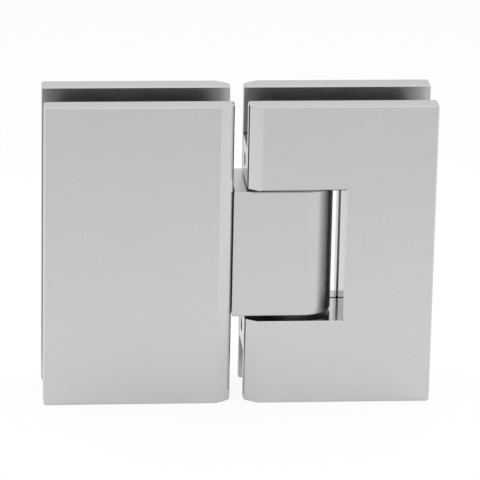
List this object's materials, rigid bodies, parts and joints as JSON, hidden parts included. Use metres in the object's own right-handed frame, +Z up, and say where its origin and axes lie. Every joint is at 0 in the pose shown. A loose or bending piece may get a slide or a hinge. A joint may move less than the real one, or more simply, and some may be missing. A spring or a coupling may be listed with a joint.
{
  "type": "glass-to-glass shower hinge",
  "caption": "Shower hinge with a clamp leaf for each glass panel and a round-nosed block that pivots on a pin in the door leaf's notch.",
  "frame": {"origin": "middle of the hinge with the leaves in line: mid-width, mid-thickness and mid-height", "axes": "+X across the leaves towards the door leaf, +Y through the glass towards the screw heads, +Z up along the pivot"},
  "size_m": [0.112, 0.026, 0.09],
  "materials": {
    "satin_chrome": "satin chrome plate on cast brass",
    "gasket": "matte",
    "stainless": "turned stainless steel",
    "dark_steel": "black oxide",
    "spring_steel": "rolled spring steel",
    "brass": "milled",
    "acetal": "matte"
  },
  "bodies": {
    "fixed_leaf": {"left_front_plate": "satin_chrome", "left_back_plate": "satin_chrome", "left_front_gasket": "gasket", "left_back_gasket": "gasket", "left_clamp_screws": "stainless", "pivot_block": "satin_chrome", "upper_bush": "acetal", "lower_bush": "acetal", "front_spring_leaf": "spring_steel", "rear_spring_leaf": "spring_steel", "spring_spacer": "brass", "spring_anchor_pins": "stainless"},
    "door_leaf": {"right_front_plate": "satin_chrome", "right_back_plate": "satin_chrome", "right_front_gasket": "gasket", "right_back_gasket": "gasket", "right_clamp_screws": "stainless", "pivot_pin": "stainless", "pin_set_screws": "dark_steel", "upper_thrust_washer": "acetal", "lower_thrust_washer": "acetal"}
  },
  "joints": [
    {"name": "door_swing", "type": "hinge", "parent": "fixed_leaf", "child": "door_leaf", "pos_m": [0.0166, 0, 0], "axis": [0, 0, 1], "range_deg": [-90, 90], "deforming": ["front_spring_leaf", "rear_spring_leaf"]}
  ]
}
